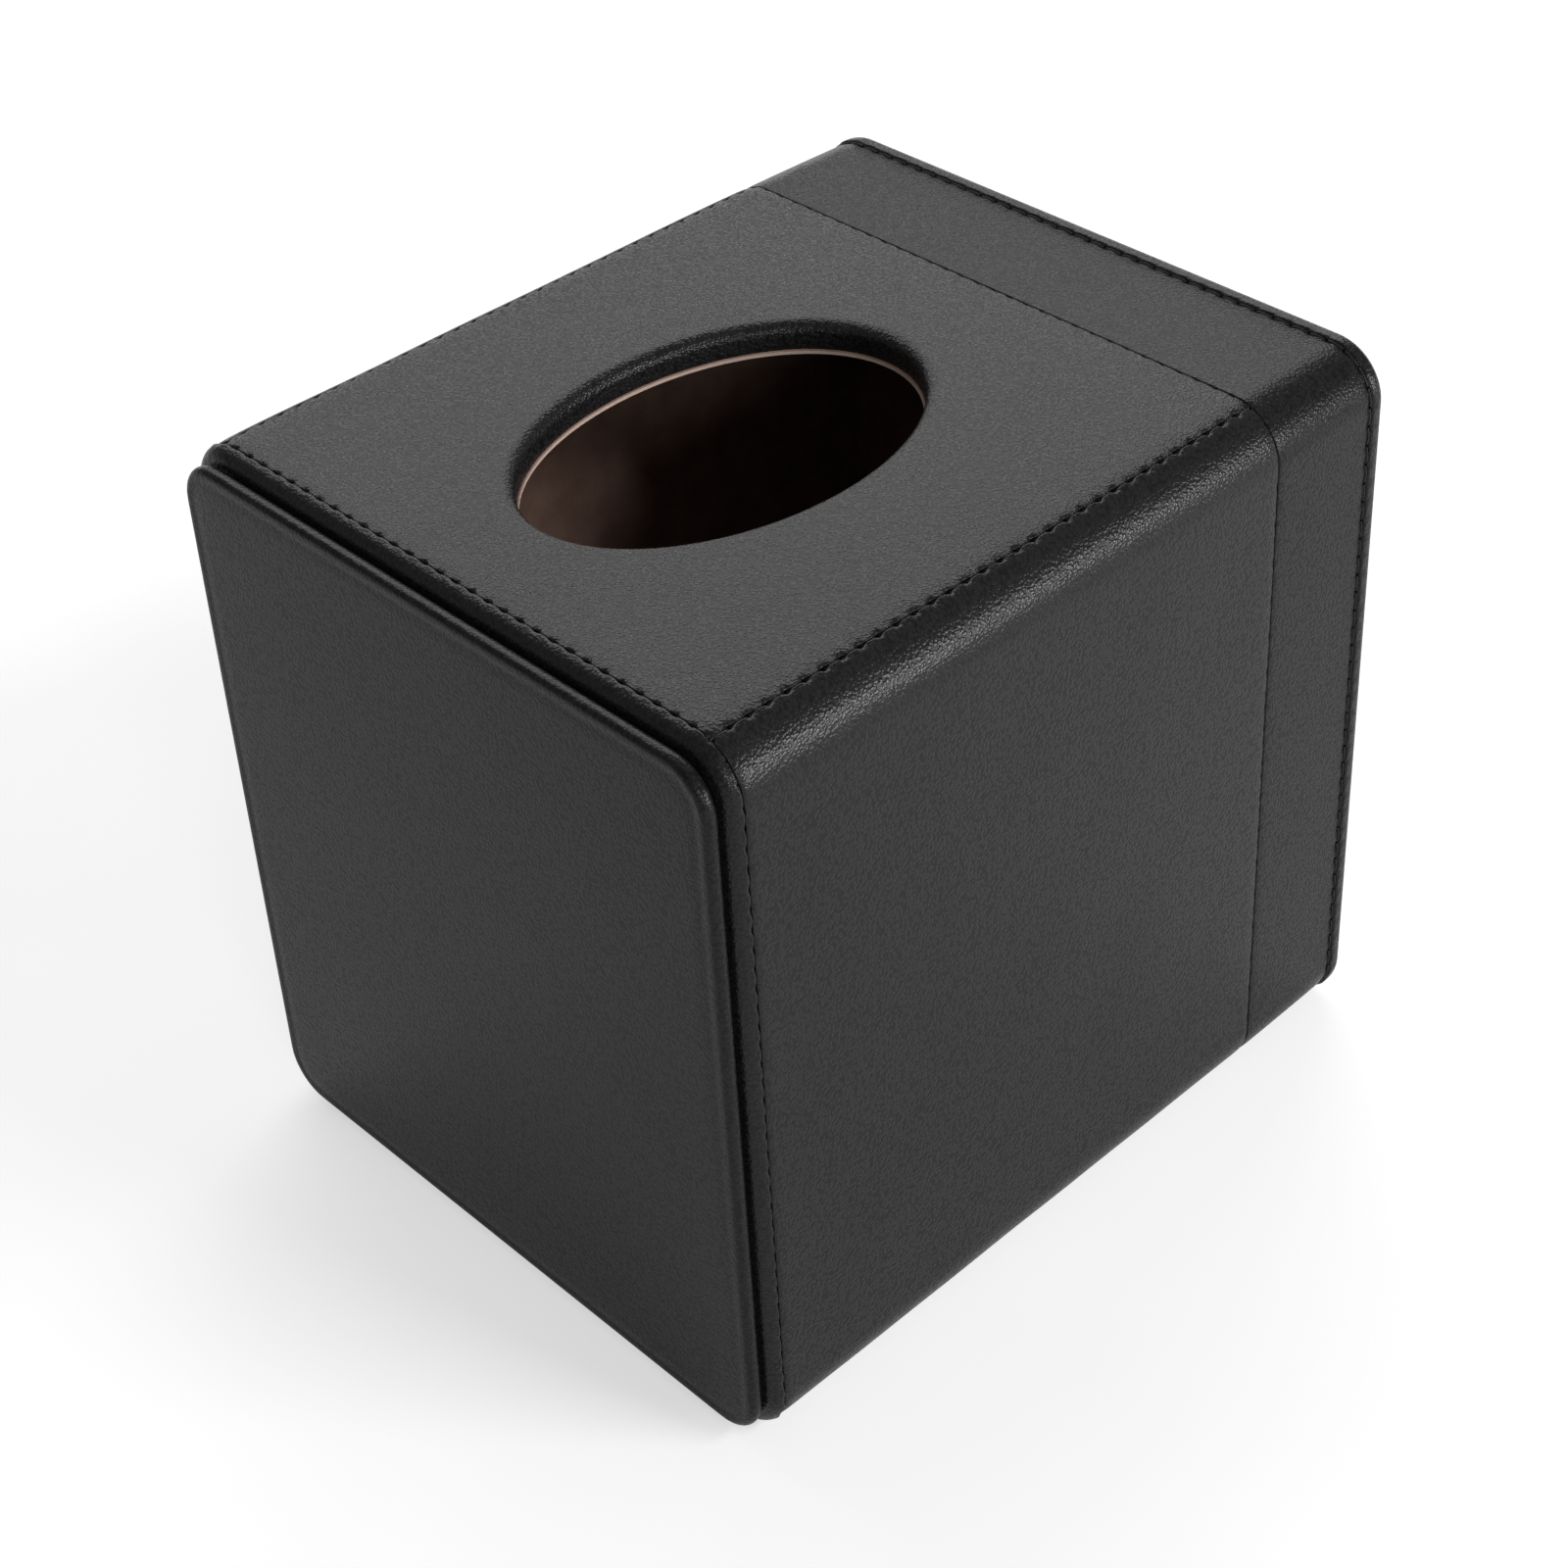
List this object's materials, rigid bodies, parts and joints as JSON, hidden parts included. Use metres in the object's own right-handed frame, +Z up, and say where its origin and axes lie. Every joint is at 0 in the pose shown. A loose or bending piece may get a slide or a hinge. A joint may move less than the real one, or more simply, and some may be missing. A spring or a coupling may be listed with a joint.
{
  "type": "tissue box cover",
  "caption": "Black leather-covered tissue box cover with an oval mouth in its top, sewn seams, round long edges and a padded front door on a leather hinge for loading.",
  "frame": {"origin": "on the floor under the middle of the closed cover", "axes": "+X to the right seen from the door, +Y from the door to the rear, +Z up"},
  "size_m": [0.13, 0.1544, 0.144],
  "materials": {
    "black_leather": "fine pebbled grain, satin",
    "brown_lining": "short suede nap, matt",
    "black_thread": "twisted sewing thread, satin",
    "board_wood": "raw fibreboard, matt",
    "grey_board": "grey board, matt",
    "foam": "thin foam sheet, matt",
    "magnet_steel": "plated steel"
  },
  "bodies": {
    "cover": {"top_board": "board_wood", "bottom_board": "board_wood", "left_board": "board_wood", "right_board": "board_wood", "rear_board": "board_wood", "foam_sleeve": "foam", "rear_foam": "foam", "top_leather": "black_leather", "left_leather": "black_leather", "right_leather": "black_leather", "bottom_leather": "black_leather", "rear_band": "black_leather", "rear_rim": "black_leather", "rear_panel": "black_leather", "front_rim": "black_leather", "hinge_strip": "black_leather", "top_lining": "brown_lining", "bottom_lining": "brown_lining", "left_lining": "brown_lining", "right_lining": "brown_lining", "rear_lining": "brown_lining", "front_thread": "black_thread", "cross_thread": "black_thread", "rear_thread": "black_thread", "top_left_thread": "black_thread", "top_right_thread": "black_thread", "bottom_left_thread": "black_thread", "bottom_right_thread": "black_thread", "upper_magnet": "magnet_steel", "lower_magnet": "magnet_steel"},
    "door": {"door_leather": "black_leather", "door_foam": "foam", "door_board": "grey_board", "door_lining": "brown_lining", "upper_keeper": "magnet_steel", "lower_keeper": "magnet_steel"}
  },
  "joints": [
    {"name": "door_hinge", "type": "hinge", "parent": "cover", "child": "door", "pos_m": [-0.0632, -0.0742, 0.0718], "axis": [0, 0, -1], "range_deg": [0, 100], "deforming": ["hinge_strip"]}
  ]
}
